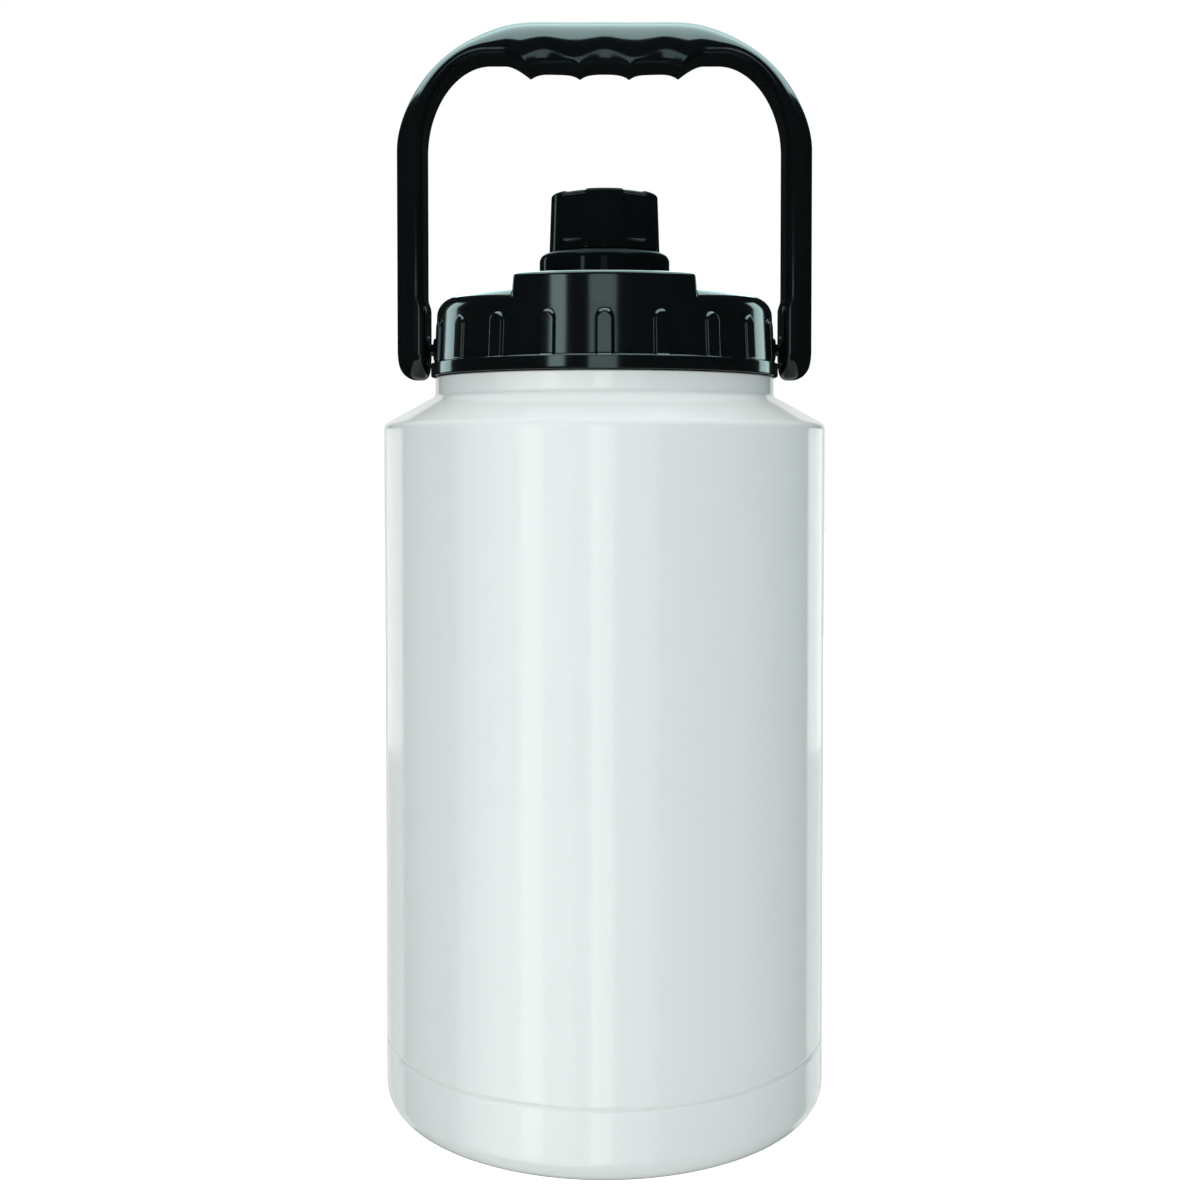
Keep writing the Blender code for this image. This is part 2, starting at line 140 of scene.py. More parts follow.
def vessel_profile():
    """Foot recess, base edge, straight side with its groove, shoulder edge, cone and neck, from foot to lip.
    The groove's depth falls off from its middle as half a cosine wave."""
    base_centre = (VESSEL_RADIUS - BASE_EDGE_RADIUS, BASE_EDGE_RADIUS)
    turn = math.degrees(CONE_ANGLE)
    shoulder_x = VESSEL_RADIUS - SHOULDER_EDGE_RADIUS
    shoulder = arc((shoulder_x, SHOULDER_HEIGHT), SHOULDER_EDGE_RADIUS, 0, 90 - turn, 12)
    fillet_x = NECK_RADIUS + NECK_FOOT_RADIUS
    fillet_end = fillet_x - NECK_FOOT_RADIUS * math.sin(CONE_ANGLE)
    cone_top = shoulder[-1, 1] + (shoulder[-1, 0] - fillet_end) * math.tan(CONE_ANGLE)
    fillet_z = cone_top + NECK_FOOT_RADIUS * math.cos(CONE_ANGLE)
    fillet = arc((fillet_x, fillet_z), NECK_FOOT_RADIUS, 270 - turn, 180, 10)
    across = np.linspace(-1, 1, 17)
    groove = np.stack([VESSEL_RADIUS - GROOVE_DEPTH * (1 + np.cos(np.pi * across)) / 2,
                       GROOVE_HEIGHT + GROOVE_HALF_WIDTH * across], axis=-1)
    recess = arc((BASE_RECESS_RADIUS, 0.0), BASE_RECESS_DEPTH, 90, 0, 10)
    lip = arc((NECK_RADIUS - NECK_LIP, NECK_TOP - NECK_LIP), NECK_LIP, 0, 90, 5)
    return np.concatenate([
        line((0.0, BASE_RECESS_DEPTH), recess[0], 8),
        recess[1:],
        line(recess[-1], (base_centre[0], 0.0), 6)[1:],
        arc(base_centre, BASE_EDGE_RADIUS, -90, 0, 24)[1:],
        line((VESSEL_RADIUS, BASE_EDGE_RADIUS), groove[0], 8)[1:],
        groove[1:],
        line(groove[-1], shoulder[0], 48)[1:],
        shoulder[1:],
        line(shoulder[-1], fillet[0], 10)[1:],
        fillet[1:],
        line(fillet[-1], lip[0], 8)[1:],
        lip[1:],
        line(lip[-1], (0.0, NECK_TOP), 4)[1:],
    ])


def new_material(name):
    """A material with its Principled shader, and the node tree that it is in."""
    material = bpy.data.materials.new(name)
    material.use_nodes = True
    return material, material.node_tree, material.node_tree.nodes["Principled BSDF"]


def surface_finish_group():
    """Node group for a hard glossy skin. Fine noise on the object's own coordinates gives the waviness that
    breaks up reflections, and broad noise moves roughness and tone between two values each."""
    group = bpy.data.node_groups.new("surface_finish", "ShaderNodeTree")
    sockets = group.interface
    for name, value in (("Wave Size", 0.004), ("Patch Size", 0.05), ("Smooth", 0.2), ("Rough", 0.3)):
        sockets.new_socket(name, in_out="INPUT", socket_type="NodeSocketFloat").default_value = value
    for name in ("Colour Low", "Colour High"):
        sockets.new_socket(name, in_out="INPUT", socket_type="NodeSocketColor")
    sockets.new_socket("Colour", in_out="OUTPUT", socket_type="NodeSocketColor")
    sockets.new_socket("Roughness", in_out="OUTPUT", socket_type="NodeSocketFloat")
    sockets.new_socket("Height", in_out="OUTPUT", socket_type="NodeSocketFloat")
    nodes, links = group.nodes, group.links
    inputs = nodes.new("NodeGroupInput")
    outputs = nodes.new("NodeGroupOutput")
    place = nodes.new("ShaderNodeTexCoord")
    noises = {}
    for name, size, detail in (("wave", "Wave Size", 2.0), ("patch", "Patch Size", 4.0)):
        frequency = nodes.new("ShaderNodeMath")
        frequency.operation = "DIVIDE"
        frequency.inputs[0].default_value = 1.0
        links.new(inputs.outputs[size], frequency.inputs[1])
        noise = nodes.new("ShaderNodeTexNoise")
        noise.inputs["Detail"].default_value = detail
        links.new(place.outputs["Object"], noise.inputs["Vector"])
        links.new(frequency.outputs[0], noise.inputs["Scale"])
        noises[name] = noise.outputs["Fac"]
    roughness = nodes.new("ShaderNodeMapRange")
    roughness.inputs["From Min"].default_value = 0.3
    roughness.inputs["From Max"].default_value = 0.7
    links.new(noises["patch"], roughness.inputs["Value"])
    links.new(inputs.outputs["Smooth"], roughness.inputs["To Min"])
    links.new(inputs.outputs["Rough"], roughness.inputs["To Max"])
    tone = nodes.new("ShaderNodeMix")
    tone.data_type = "RGBA"
    links.new(noises["patch"], tone.inputs["Factor"])
    links.new(inputs.outputs["Colour Low"], tone.inputs["A"])
    links.new(inputs.outputs["Colour High"], tone.inputs["B"])
    links.new(tone.outputs["Result"], outputs.inputs["Colour"])
    links.new(roughness.outputs["Result"], outputs.inputs["Roughness"])
    links.new(noises["wave"], outputs.inputs["Height"])
    return group


surface_finish = surface_finish_group()


def finished_material(name, dark, light, smooth, rough, wave, patch, relief):
    """A glossy material whose colour, roughness and bump come from the surface finish group."""
    material, tree, shader = new_material(name)
    finish = tree.nodes.new("ShaderNodeGroup")
    finish.node_tree = surface_finish
    finish.inputs["Wave Size"].default_value = wave
    finish.inputs["Patch Size"].default_value = patch
    finish.inputs["Smooth"].default_value = smooth
    finish.inputs["Rough"].default_value = rough
    finish.inputs["Colour Low"].default_value = (*dark, 1.0)
    finish.inputs["Colour High"].default_value = (*light, 1.0)
    bump = tree.nodes.new("ShaderNodeBump")
    bump.inputs["Distance"].default_value = relief
    tree.links.new(finish.outputs["Height"], bump.inputs["Height"])
    tree.links.new(finish.outputs["Colour"], shader.inputs["Base Color"])
    tree.links.new(finish.outputs["Roughness"], shader.inputs["Roughness"])
    tree.links.new(bump.outputs["Normal"], shader.inputs["Normal"])
    return material


paint = finished_material("gloss_paint", [value * 0.985 for value in PAINT_COLOUR], PAINT_COLOUR,
                          smooth=0.10, rough=0.13, wave=0.0016, patch=0.05, relief=0.000002)
vessel = add_surface("painted_vessel", paint, [turned(vessel_profile(), VESSEL_COLUMNS)])
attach(vessel, "jug")
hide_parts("vessel")


# The lid is one black moulding that screws onto the neck: a bottom ring with a ledge, a drafted wall with
# round-topped grip ribs, a rounded shoulder, and a raised bridge that runs from front to back. Its surface is
# a radius worked out for each direction and row.
LID_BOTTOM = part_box("lid")[0].z
RING_RADIUS = 0.0600
RING_TOP = 0.2549
RING_EDGE = 0.0003
WALL_FOOT_RADIUS = 0.0587
WALL_FOOT_FILLET = 0.0004
WALL_TOP_RADIUS = 0.0579
WALL_TOP = 0.2710
LID_SHOULDER_RADIUS = 0.0060
RIB_COUNT = 20
RIB_HALF_WIDTH = 0.0025
RIB_FLANK = 0.0003
RIB_TOP = 0.2690
RIB_PROUD = 0.0010
BRIDGE_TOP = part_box("lid")[1].z
BRIDGE_HALF_WIDTH = 0.0289
BRIDGE_DRAFT = 0.09
BRIDGE_EDGE_RADIUS = 0.0014
BRIDGE_FILLET = 0.0008
BRIDGE_CORNER = 0.0012
BRIDGE_SIDE_LEAN = 0.0008
BRIDGE_SIDE_CROWDING = 3.0
BRIDGE_SIDE_REACH = 0.0016
RIB_FLANK_CROWDING = 2.5
RIB_FLANK_REACH = 1.6 * RIB_FLANK
SLOPE_LEAST = 0.02
LID_COLUMNS = 900
PIVOT_HEIGHT = 0.2600
BLACK_LOW = (0.0030, 0.0040, 0.0043)
BLACK_HIGH = (0.0039, 0.0051, 0.0055)


def smooth_step(edge_low, edge_high, value):
    """0 below the low edge, 1 above the high edge, and 3 t^2 - 2 t^3 between them."""
    share = np.clip((value - edge_low) / (edge_high - edge_low), 0, 1)
    return share * share * (3 - 2 * share)


def soft_least(first, second, blend):
    """The lesser of two values, rounded where they cross: mean less sqrt(difference^2 + blend^2) / 2."""
    return (first + second - np.sqrt((first - second) ** 2 + blend ** 2)) / 2


def rib_offset(angle):
    """Distance round the wall from the middle of the nearest rib. At the two pivots there is none."""
    pitch = math.tau / RIB_COUNT
    turn = (angle + pitch / 2) % pitch - pitch / 2
    at_pivot = np.abs(np.abs(angle) - math.pi / 2) < pitch / 2
    return np.where(at_pivot, pitch / 2, turn) * WALL_FOOT_RADIUS


def lid_angles():
    """Directions of the grid's columns, from -pi to pi with 0 at -Y. They crowd where a rib's flank or the
    bridge's side is: a density of such places is summed up and cut into equal shares."""
    angle = np.linspace(-math.pi, math.pi, 20001)
    flank = np.abs(rib_offset(angle)) - RIB_HALF_WIDTH
    side = np.abs(WALL_TOP_RADIUS * np.sin(angle)) - BRIDGE_HALF_WIDTH - BRIDGE_SIDE_LEAN
    density = (1 + RIB_FLANK_CROWDING * np.exp(-(flank / RIB_FLANK_REACH) ** 2)
               + BRIDGE_SIDE_CROWDING * np.exp(-(side / BRIDGE_SIDE_REACH) ** 2))
    total = np.concatenate([[0.0], np.cumsum((density[1:] + density[:-1]) / 2)])
    return np.interp(np.arange(LID_COLUMNS) / LID_COLUMNS * total[-1], total, angle)


def bridge_reach(angle, height, inset):
    """Radius of the bridge's outline in a direction: the round wall's, or the drafted side's if nearer."""
    side = BRIDGE_HALF_WIDTH + BRIDGE_DRAFT * (BRIDGE_TOP - height) - inset
    slope = np.maximum(np.abs(np.sin(angle)), SLOPE_LEAST)
    return soft_least(WALL_TOP_RADIUS - inset, side / slope, BRIDGE_CORNER)


def lid_grid():
    """Rows of (r sin a, -r cos a, z) from the middle of the underside, up the outside, to the middle of the
    top. On the wall a rib adds its height times a mask: the distance from an upright slot with a round top,
    smoothed over its flank. Above, the radius is the greater of the shoulder's and the bridge's."""
    angle = lid_angles()
    offset = rib_offset(angle)
    level = np.ones_like(angle)
    rows = []

    def wall(height):
        share = (height - RING_TOP) / (WALL_TOP - RING_TOP)
        rise = np.maximum(height - (RIB_TOP - RIB_HALF_WIDTH), 0)
        gap = np.hypot(offset, rise) - RIB_HALF_WIDTH
        rib = RIB_PROUD * (1 - smooth_step(-RIB_FLANK, RIB_FLANK, gap))
        return WALL_FOOT_RADIUS + share * (WALL_TOP_RADIUS - WALL_FOOT_RADIUS) + rib

    for radius, height in line((0.0, LID_BOTTOM), (RING_RADIUS - RING_EDGE, LID_BOTTOM), 6):
        rows.append((radius * level, height * level))
    ring_foot = arc((RING_RADIUS - RING_EDGE, LID_BOTTOM + RING_EDGE), RING_EDGE, -90, 0, 5)
    ring_head = arc((RING_RADIUS - RING_EDGE, RING_TOP - RING_EDGE), RING_EDGE, 0, 90, 5)
    ring = np.concatenate([ring_foot[1:], line(ring_foot[-1], ring_head[0], 5)[1:], ring_head[1:]])
    for radius, height in ring:
        rows.append((radius * level, height * level))
    foot = wall(RING_TOP)
    fillet = np.minimum(WALL_FOOT_FILLET, RING_RADIUS - RING_EDGE - foot)
    for share in (0.15, 0.85):
        reach = RING_RADIUS - RING_EDGE + share * (foot + fillet - RING_RADIUS + RING_EDGE)
        rows.append((reach, RING_TOP * level))
    for turn in np.linspace(0, math.pi / 2, 5):
        height = RING_TOP + fillet * (1 - math.cos(turn))
        rows.append((wall(height) + fillet * (1 - math.sin(turn)), height))
    for height in np.linspace(RING_TOP + 2 * WALL_FOOT_FILLET, WALL_TOP, 44):
        rows.append((wall(height * level), height * level))
    shoulder_inner = WALL_TOP_RADIUS - LID_SHOULDER_RADIUS
    for turn in np.linspace(0, math.pi / 2, 15)[1:]:
        height = WALL_TOP + LID_SHOULDER_RADIUS * math.sin(turn)
        reach = bridge_reach(angle, height, 0.0)
        shoulder = shoulder_inner + LID_SHOULDER_RADIUS * math.cos(turn)
        rows.append((np.maximum(shoulder, reach), height * level))
    flat = WALL_TOP + LID_SHOULDER_RADIUS
    slope = np.maximum(np.abs(np.sin(angle)), SLOPE_LEAST)
    side = bridge_reach(angle, flat, 0.0)
    room = np.maximum(shoulder_inner - side, 0)
    fillet = np.minimum(BRIDGE_FILLET, room * slope / 2)
    for share in (0.04, 0.5, 0.96):
        rows.append((side + room - share * (room - fillet / slope), flat * level))
    for turn in np.linspace(0, math.pi / 2, 6):
        height = flat + fillet * (1 - math.cos(turn))
        rows.append((bridge_reach(angle, height, 0.0) + fillet / slope * (1 - math.sin(turn)), height))
    for share in (0.15, 0.5, 0.85, 1.0):
        height = flat + BRIDGE_FILLET + share * (BRIDGE_TOP - BRIDGE_EDGE_RADIUS - flat - BRIDGE_FILLET)
        rows.append((bridge_reach(angle, height, 0.0), height * level))
    for turn in np.linspace(0, math.pi / 2, 9)[1:]:
        inset = BRIDGE_EDGE_RADIUS * (1 - math.cos(turn))
        height = BRIDGE_TOP - BRIDGE_EDGE_RADIUS * (1 - math.sin(turn))
        rows.append((bridge_reach(angle, height, inset), height * level))
    rim = bridge_reach(angle, BRIDGE_TOP, BRIDGE_EDGE_RADIUS)
    for share in (0.985, 0.9, 0.7, 0.45, 0.2, 0.0):
        rows.append((rim * share, BRIDGE_TOP * level))
    radius = np.array([row[0] for row in rows])
    height = np.array([row[1] for row in rows])
    return np.stack([radius * np.sin(angle), -radius * np.cos(angle), height], axis=-1)


lid_plastic = finished_material("lid_plastic", BLACK_LOW, BLACK_HIGH, smooth=0.09, rough=0.13,
                                wave=0.0012, patch=0.03, relief=0.0000015)
lid = add_surface("ribbed_lid", lid_plastic, [lid_grid()])
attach(lid, "jug")
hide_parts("lid")


# Two low round bosses stand on the lid's wall at the handle's pivots, moulded with the lid. Each is a turned
# ring with a socket in its middle for the handle's stud.
BOSS_RADIUS = 0.0040
BOSS_FACE = 0.0593
BOSS_EDGE = 0.0003
SOCKET_RADIUS = 0.0024
SOCKET_DEPTH = 0.0012
STUD_COLUMNS = 64


def turned_on_pivot(profile, side):
    """A grid like turned(), its axis laid along X through the pivot: the profile's height is the way out."""
    grid = turned(profile, STUD_COLUMNS)
    return np.stack([side * grid[..., 2], grid[..., 0], PIVOT_HEIGHT + grid[..., 1]], axis=-1)


def boss_profile():
    """From the middle of its hidden back, out to the rim, over the rounded edge and down into the socket."""
    back = WALL_TOP_RADIUS - 2 * BOSS_EDGE
    floor = BOSS_FACE - SOCKET_DEPTH
    return np.concatenate([
        line((0.0, back), (BOSS_RADIUS, back), 4),
        line((BOSS_RADIUS, back), (BOSS_RADIUS, BOSS_FACE - BOSS_EDGE), 5)[1:],
        arc((BOSS_RADIUS - BOSS_EDGE, BOSS_FACE - BOSS_EDGE), BOSS_EDGE, 0, 90, 6)[1:],
        line((BOSS_RADIUS - BOSS_EDGE, BOSS_FACE), (SOCKET_RADIUS + BOSS_EDGE, BOSS_FACE), 5)[1:],
        arc((SOCKET_RADIUS + BOSS_EDGE, BOSS_FACE - BOSS_EDGE), BOSS_EDGE, 90, 180, 5)[1:],
        line((SOCKET_RADIUS, BOSS_FACE - BOSS_EDGE), (SOCKET_RADIUS, floor), 4)[1:],
        line((SOCKET_RADIUS, floor), (0.0, floor), 4)[1:],
    ])


for name, side in (("left", -1), ("right", 1)):
    boss = add_surface(f"lid_boss_{name}", lid_plastic, [turned_on_pivot(boss_profile(), side)])
    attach(boss, "jug")


# The spout's collar is a plain round black moulding with a well rounded top edge. It stands on the bridge,
# and the pour cap screws down onto it. Its profile is turned about Z.
COLLAR_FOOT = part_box("spout_collar")[0].z
COLLAR_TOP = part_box("spout_collar")[1].z
COLLAR_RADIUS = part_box("spout_collar")[1].x
COLLAR_EDGE_RADIUS = 0.0029
COLLAR_FOOT_EDGE = 0.0003
COLLAR_COLUMNS = 192


def collar_profile():
    """Underside, small foot edge, straight side, round top edge and flat top."""
    foot_centre = (COLLAR_RADIUS - COLLAR_FOOT_EDGE, COLLAR_FOOT + COLLAR_FOOT_EDGE)
    foot = arc(foot_centre, COLLAR_FOOT_EDGE, -90, 0, 5)
    edge_centre = (COLLAR_RADIUS - COLLAR_EDGE_RADIUS, COLLAR_TOP - COLLAR_EDGE_RADIUS)
    edge = arc(edge_centre, COLLAR_EDGE_RADIUS, 0, 90, 18)
    return np.concatenate([
        line((0.0, COLLAR_FOOT), foot[0], 4),
        foot[1:],
        line(foot[-1], edge[0], 10)[1:],
        edge[1:],
        line(edge[-1], (0.0, COLLAR_TOP), 8)[1:],
    ])


spout_plastic = finished_material("spout_plastic", BLACK_LOW, BLACK_HIGH, smooth=0.08, rough=0.11,
                                  wave=0.0010, patch=0.02, relief=0.0000015)
collar = add_surface("spout_collar_ring", spout_plastic, [turned(collar_profile(), COLLAR_COLUMNS)])
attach(collar, "jug")
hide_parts("spout_collar")


# The pour cap is a tapered black moulding that closes the spout. Five broad flutes give the fingers hold.
# They end above its foot in a crescent and dip its rim a little. Its surface is a radius for each direction
# and row.
CAP_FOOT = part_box("pour_cap")[0].z
CAP_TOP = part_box("pour_cap")[1].z
CAP_FOOT_RADIUS = 0.0191
CAP_TOP_RADIUS = 0.0184
CAP_EDGE_RADIUS = 0.0012
CAP_FOOT_EDGE = 0.0003
FLUTE_COUNT = 5
FLUTE_RADIUS = 0.0200
FLUTE_DEPTH = 0.0014
FLUTE_FOOT = 0.2956
FLUTE_FOOT_RADIUS = 0.0025
FLUTE_EDGE = 0.0002
RIM_DIP = 0.0010
RIM_DIP_WIDTH = 0.0035
CAP_COLUMNS = 720


def flute_reach(angle, height):
    """How far out the cap may reach in a direction: the near side of a flute's circle, whose centre lies
    outside the cap. Near its foot the flute's circle shrinks as the quarter of a circle."""
    pitch = math.tau / FLUTE_COUNT
    turn = angle % pitch - pitch / 2
    share = (height - CAP_FOOT) / (CAP_TOP - CAP_FOOT)
    middle = CAP_FOOT_RADIUS - FLUTE_DEPTH + FLUTE_RADIUS - share * (CAP_FOOT_RADIUS - CAP_TOP_RADIUS)
    above = np.clip((height - FLUTE_FOOT) / FLUTE_FOOT_RADIUS, 0, 1)
    circle = FLUTE_RADIUS - FLUTE_FOOT_RADIUS * (1 - np.sqrt(1 - (1 - above) ** 2))
    inside = np.maximum(circle ** 2 - (middle * np.sin(turn)) ** 2, 0)
    reach = middle * np.cos(turn) - np.sqrt(inside)
    return np.where((height > FLUTE_FOOT) & (inside > 0), reach, 2 * CAP_FOOT_RADIUS)


def cap_grid():
    """Rows of (r sin a, -r cos a, z) from the middle of the underside to the middle of the top, the radius
    being the lesser of the tapered wall's and the flute's. Where a flute cuts the rim, the rim dips."""
    angle = np.arange(CAP_COLUMNS) * (math.tau / CAP_COLUMNS)
    edge_foot = CAP_TOP - CAP_EDGE_RADIUS
    side = [line((CAP_FOOT_RADIUS, CAP_FOOT + CAP_FOOT_EDGE), (CAP_FOOT_RADIUS, FLUTE_FOOT), 6)[:-1, 1],
            np.linspace(FLUTE_FOOT, FLUTE_FOOT + FLUTE_FOOT_RADIUS, 26)[:-1],
            line((0.0, FLUTE_FOOT + FLUTE_FOOT_RADIUS), (0.0, edge_foot), 16)[:, 1]]
    height = np.concatenate(side)
    radius = CAP_FOOT_RADIUS + (height - CAP_FOOT) / (CAP_TOP - CAP_FOOT) * (CAP_TOP_RADIUS - CAP_FOOT_RADIUS)
    under = line((0.0, CAP_FOOT), (CAP_FOOT_RADIUS - CAP_FOOT_EDGE, CAP_FOOT), 4)
    foot = arc((CAP_FOOT_RADIUS - CAP_FOOT_EDGE, CAP_FOOT + CAP_FOOT_EDGE), CAP_FOOT_EDGE, -90, 0, 5)[1:-1]
    rim = arc((radius[-1] - CAP_EDGE_RADIUS, edge_foot), CAP_EDGE_RADIUS, 0, 90, 10)[1:]
    top = line(rim[-1], (0.0, CAP_TOP), 26)[1:]
    profile = np.concatenate([under, foot, np.stack([radius, height], axis=-1), rim, top])
    plain = profile[:, :1]
    height = np.broadcast_to(profile[:, 1:], (len(profile), CAP_COLUMNS))
    share = np.where(height > edge_foot, plain / radius[-1], 1.0)
    limit = flute_reach(angle, np.minimum(height, edge_foot)) * share
    reach = np.where(plain > radius[-1] / 2, soft_least(plain, limit, FLUTE_EDGE), np.minimum(plain, limit))
    cut = np.clip((radius[-1] - flute_reach(angle, edge_foot)) / FLUTE_DEPTH, 0, 1)
    near_rim = smooth_step(radius[-1] - RIM_DIP_WIDTH, radius[-1], reach) * (height >= edge_foot)
    height = height - RIM_DIP * np.sqrt(cut) * near_rim
    return np.stack([reach * np.sin(angle), -reach * np.cos(angle), height], axis=-1)


cap = add_surface("fluted_pour_cap", spout_plastic, [cap_grid()])
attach(cap, "jug")
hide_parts("pour_cap")


# The carry handle is one thick black moulding: two legs, wide round corners and a grip with three finger
# scallops under it. Its section, with a broad round crown and a flat underside, is carried along a spine.
HANDLE_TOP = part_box("handle")[1].z
HANDLE_HALF_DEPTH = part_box("handle")[1].y
LEG_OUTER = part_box("handle")[1].x
LEG_INNER = 0.0620
OUTER_CORNER = (0.0460, 0.0445)
OUTER_POWER = 1.80
INNER_CORNER = (0.0219, 0.0311)
INNER_TOP = 0.3600
INNER_POWER = 1.95
SPINE_X = 0.0670
SPINE_TOP = 0.3660
SPINE_CORNER = (0.0330, 0.0380)
LEG_CROWN = (0.0064, 0.0064)
LEG_UNDER_RADIUS = 0.0024
GRIP_CROWN = (0.0105, 0.0130)
GRIP_CROWN_WAVE = 0.0028
GRIP_WAVE_FAN = 1.20
GRIP_FACE_RADIUS = 0.0105
GRIP_UNDER_RADIUS = 0.0022
LEG_TO_GRIP = (0.0650, 0.0420)
SCALLOP_HALF_WIDTH = 0.0086
SCALLOP_RIDGE_DROP = 0.0048
SCALLOP_DEPTH = 0.0018
SCALLOP_POWER = 4
GRIP_FLANK_WIDTH = 0.0087
GRIP_FLANK_POWER = 1.6
SMALLEST_STEP = 0.0001
SEARCH_REACH = 0.03
SEARCH_STEPS = 40
PAD_PROUD = 0.0010
PAD_TOP = 0.2745
PAD_RAMP_TOP = 0.2775
LEG_END_STEPS = 48


def corner_level(x, z, top, edge, corner, power):
    """Below 0 under an arch with straight sides and a flat top whose corners are parts of a superellipse."""
    across = np.maximum(x - (edge - corner[0]), 0) / corner[0]
    up = np.maximum(z - (top - corner[1]), 0) / corner[1]
    return across ** power + up ** power - 1


def scallop_share(x):
    """0 in the middle of each finger scallop, 1 at the ridges beside it, and 1 past the last ridge."""
    step = 2 * SCALLOP_HALF_WIDTH
    share = np.abs(x - step * np.round(x / step)) / SCALLOP_HALF_WIDTH
    return np.where(x < 3 * SCALLOP_HALF_WIDTH, share, 1.0)


def grip_drop(x):
    """How far the grip hangs below the handle's plain underside. Each scallop is a fourth power curve between
    two ridges, and past the last ridge a flank rises back to the plain underside."""
    flank = np.clip(1 - (x - 3 * SCALLOP_HALF_WIDTH) / GRIP_FLANK_WIDTH, 0, 1) ** GRIP_FLANK_POWER
    return SCALLOP_RIDGE_DROP * flank - SCALLOP_DEPTH * (1 - scallop_share(x) ** SCALLOP_POWER)


def outer_level(x, z):
    """Above 0 outside the handle's outer outline."""
    return corner_level(x, z, HANDLE_TOP, LEG_OUTER, OUTER_CORNER, OUTER_POWER)


def inner_level(x, z):
    """Below 0 in the open space that the handle spans."""
    return corner_level(x, z + grip_drop(x), INNER_TOP, LEG_INNER, INNER_CORNER, INNER_POWER)


def reach_outline(level, point, way):
    """Distance from each point, along its way, to where a level changes sign, found by halving."""
    low = np.zeros(len(point))
    high = np.full(len(point), SEARCH_REACH)
    start = level(point[:, 0], point[:, 1])
    for _ in range(SEARCH_STEPS):
        middle = (low + high) / 2
        spot = point + way * middle[:, None]
        same = level(spot[:, 0], spot[:, 1]) * start > 0
        low = np.where(same, middle, low)
        high = np.where(same, high, middle)
    return (low + high) / 2


def handle_spine():
    """Points from the pivot up the leg, round a quarter ellipse and along the grip to its middle, each with
    the way that faces out."""
    leg = np.linspace(PIVOT_HEIGHT, SPINE_TOP - SPINE_CORNER[1], 60)
    leg_points = np.stack([np.full_like(leg, SPINE_X), leg], axis=-1)
    leg_ways = np.tile((1.0, 0.0), (len(leg), 1))
    angle = np.linspace(0, math.pi / 2, 60)[1:-1]
    turn = np.stack([np.cos(angle), np.sin(angle)], axis=-1)
    middle = np.array([SPINE_X, SPINE_TOP]) - SPINE_CORNER
    corner_ways = turn / SPINE_CORNER
    corner_ways /= np.linalg.norm(corner_ways, axis=1, keepdims=True)
    along = np.linspace(middle[0], 0.0, 120)
    grip_points = np.stack([along, np.full_like(along, SPINE_TOP)], axis=-1)
    grip_ways = np.tile((0.0, 1.0), (len(along), 1))
    points = np.concatenate([leg_points, middle + turn * SPINE_CORNER, grip_points])
    return points, np.concatenate([leg_ways, corner_ways, grip_ways])


def half_section(outward, inward, x):
    """The section's half at +Y, from the middle of the crown to the middle of the underside, as (out, y)
    rows: a quarter ellipse for the crown, a straight run, an arc that turns in, and a fillet to the flat
    underside. The crown reaches down less over a scallop, by half a cosine wave that fans out upwards."""
    grip_share = 1 - smooth_step(LEG_TO_GRIP[1], LEG_TO_GRIP[0], x)
    wave = (1 + np.cos(math.pi * scallop_share(x / GRIP_WAVE_FAN))) / 2
    across = LEG_CROWN[0] + (GRIP_CROWN[0] - LEG_CROWN[0]) * grip_share
    down = LEG_CROWN[1] + (GRIP_CROWN[1] - GRIP_CROWN_WAVE * wave - LEG_CROWN[1]) * grip_share
    fillet = LEG_UNDER_RADIUS + (GRIP_UNDER_RADIUS - LEG_UNDER_RADIUS) * grip_share
    face = LEG_UNDER_RADIUS + SMALLEST_STEP + (GRIP_FACE_RADIUS - LEG_UNDER_RADIUS) * grip_share
    down = np.minimum(down, outward + inward - fillet - SMALLEST_STEP)
    cut = np.minimum(outward + inward - down, face)
    side_end = cut - inward
    turn_end = np.arcsin((cut - fillet) / (face - fillet))
    rows = [(outward, share * (HANDLE_HALF_DEPTH - across)) for share in (0.0, 0.5, 0.95)]
    for turn in np.linspace(0, math.pi / 2, 22):
        out = outward - down * (1 - math.cos(turn))
        rows.append((out, HANDLE_HALF_DEPTH - across * (1 - math.sin(turn))))
    for share in (0.1, 0.9):
        rows.append((outward - down - share * (outward - down - side_end), HANDLE_HALF_DEPTH + 0 * x))
    for share in np.linspace(0, 1, 8):
        turn = share * turn_end
        rows.append((side_end - face * np.sin(turn), HANDLE_HALF_DEPTH - face * (1 - np.cos(turn))))
    fillet_y = HANDLE_HALF_DEPTH - face + (face - fillet) * np.cos(turn_end)
    for share in np.linspace(0, 1, 12)[1:]:
        turn = turn_end + share * (math.pi / 2 - turn_end)
        rows.append((fillet * (1 - np.sin(turn)) - inward, fillet_y + fillet * np.cos(turn)))
    for share in (0.92, 0.5, 0.0):
        rows.append((-inward, share * fillet_y))
    return np.stack([[row[0] for row in rows], [row[1] for row in rows]], axis=-1).swapaxes(0, 1)


